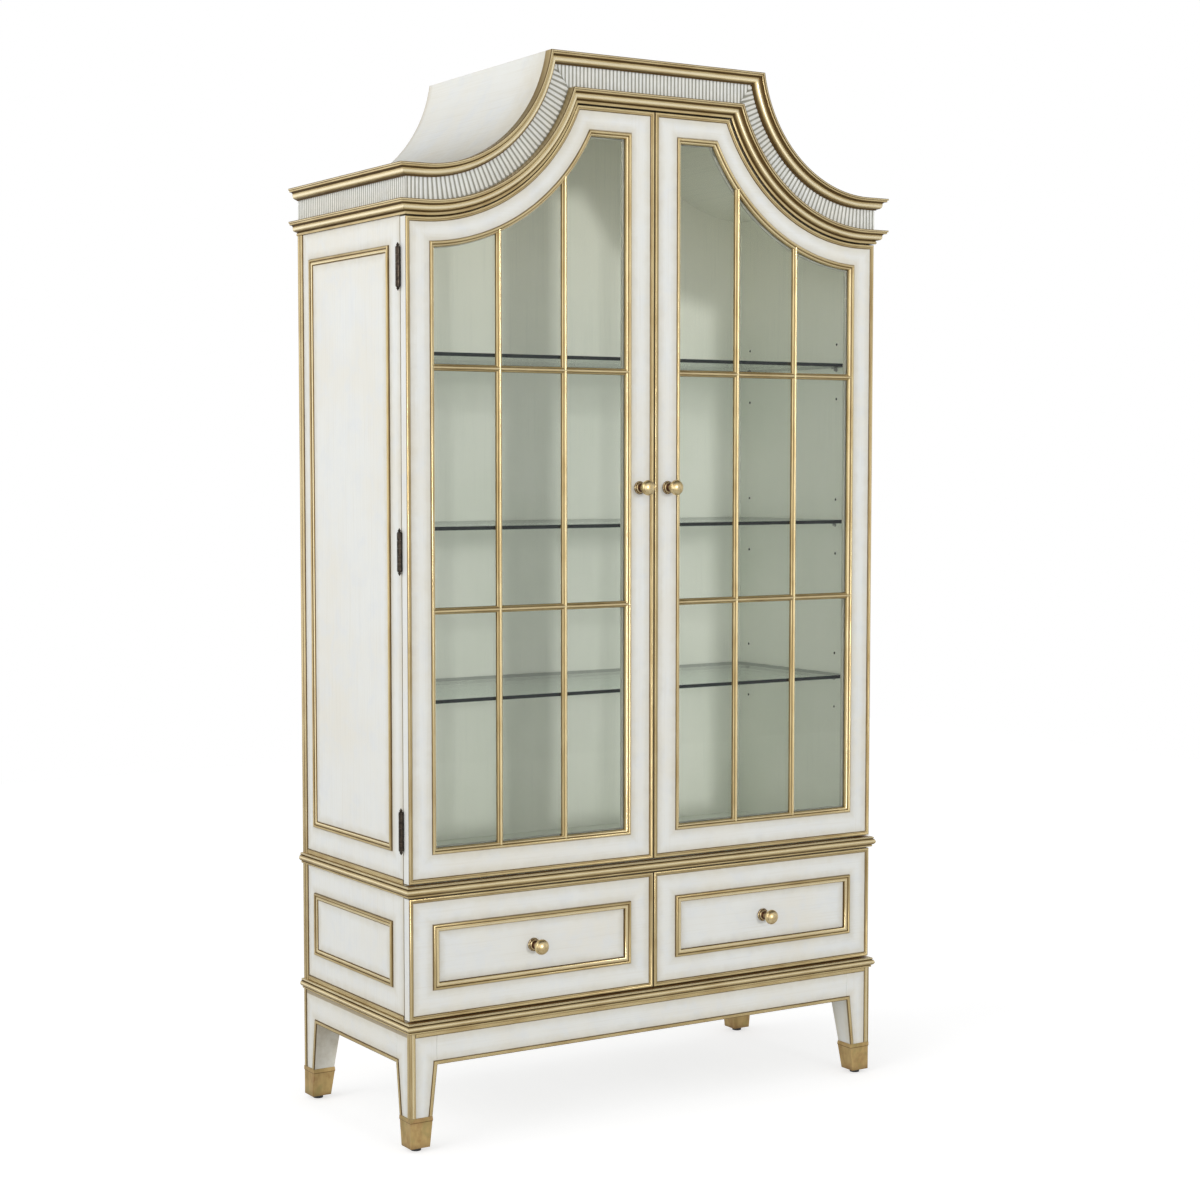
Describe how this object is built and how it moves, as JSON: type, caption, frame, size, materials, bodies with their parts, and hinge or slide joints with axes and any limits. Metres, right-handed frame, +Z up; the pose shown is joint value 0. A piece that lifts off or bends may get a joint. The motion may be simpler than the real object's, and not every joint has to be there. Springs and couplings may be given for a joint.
{
  "type": "curio cabinet",
  "caption": "Tall display cabinet with an arched crown, glazed doors over drawers, glass shelves and tapered legs.",
  "frame": {"origin": "on the floor, midway between the sides, and 7 mm in front of the middle of the bounding box, which takes in the knobs", "axes": "+X to the right seen from the front, +Y to the back, +Z up; the doors face -Y"},
  "size_m": [1.246, 0.5384, 2.254],
  "materials": {
    "ivory_paint": "brushed ivory paint, satin, with brown glaze in the corners",
    "gold_paint": "antique gold paint, rubbed, brown glaze in the grooves",
    "sage_paint": "sage green paint, matt",
    "bare_wood": "clear-sealed softwood",
    "door_glass": "clear float glass",
    "shelf_glass": "clear float glass with polished edges",
    "pin_metal": "plated",
    "dark_bronze": "dark antique bronze",
    "knob_brass": "aged brass",
    "black_plastic": "moulded"
  },
  "bodies": {
    "case": {"upper_cornice_front": "gold_paint", "lower_cornice_front": "gold_paint", "cornice_returns": "gold_paint", "waist_moulding": "gold_paint", "base_moulding": "gold_paint", "plinth_beads": "gold_paint", "side_mouldings": "gold_paint", "foot_caps": "gold_paint", "frieze_front": "ivory_paint", "frieze_sides": "ivory_paint", "roof_curve_left": "ivory_paint", "roof_curve_right": "ivory_paint", "roof_crown": "ivory_paint", "upper_side_left": "ivory_paint", "upper_side_right": "ivory_paint", "lower_side_left": "ivory_paint", "lower_side_right": "ivory_paint", "aprons": "ivory_paint", "legs_front": "ivory_paint", "legs_rear": "ivory_paint", "deck_board": "ivory_paint", "bottom_board": "ivory_paint", "header_board": "sage_paint", "upper_back": "sage_paint", "drawer_divider": "bare_wood", "drawer_runners": "bare_wood", "lower_back": "bare_wood", "shelf_bottom": "shelf_glass", "shelf_middle": "shelf_glass", "shelf_top": "shelf_glass", "shelf_pins": "pin_metal", "hinge_case_leaves": "dark_bronze", "hinge_pins": "dark_bronze", "door_catches": "black_plastic", "foot_glides": "black_plastic"},
    "door_left": {"door_left_stiles": "ivory_paint", "door_left_rails": "ivory_paint", "door_left_edge_bead": "gold_paint", "door_left_glazing_bead": "gold_paint", "door_left_muntins": "gold_paint", "door_left_glass": "door_glass", "door_left_knob": "knob_brass", "door_left_hardware": "dark_bronze"},
    "door_right": {"door_right_stiles": "ivory_paint", "door_right_rails": "ivory_paint", "door_right_edge_bead": "gold_paint", "door_right_glazing_bead": "gold_paint", "door_right_muntins": "gold_paint", "door_right_glass": "door_glass", "door_right_knob": "knob_brass", "door_right_hardware": "dark_bronze"},
    "drawer_left": {"drawer_left_front": "ivory_paint", "drawer_left_mouldings": "gold_paint", "drawer_left_knob": "knob_brass", "drawer_left_box": "bare_wood"},
    "drawer_right": {"drawer_right_front": "ivory_paint", "drawer_right_mouldings": "gold_paint", "drawer_right_knob": "knob_brass", "drawer_right_box": "bare_wood"}
  },
  "joints": [
    {"name": "door_left_hinge", "type": "hinge", "parent": "case", "child": "door_left", "pos_m": [-0.6055, -0.197, 1.2305], "axis": [0, 0, -1], "range_deg": [0, 115]},
    {"name": "door_right_hinge", "type": "hinge", "parent": "case", "child": "door_right", "pos_m": [0.6055, -0.197, 1.2305], "axis": [0, 0, 1], "range_deg": [0, 115]},
    {"name": "drawer_left_slide", "type": "slide", "parent": "case", "child": "drawer_left", "axis": [0, -1, 0], "range_m": [0, 0.33]},
    {"name": "drawer_right_slide", "type": "slide", "parent": "case", "child": "drawer_right", "axis": [0, -1, 0], "range_m": [0, 0.33]}
  ]
}
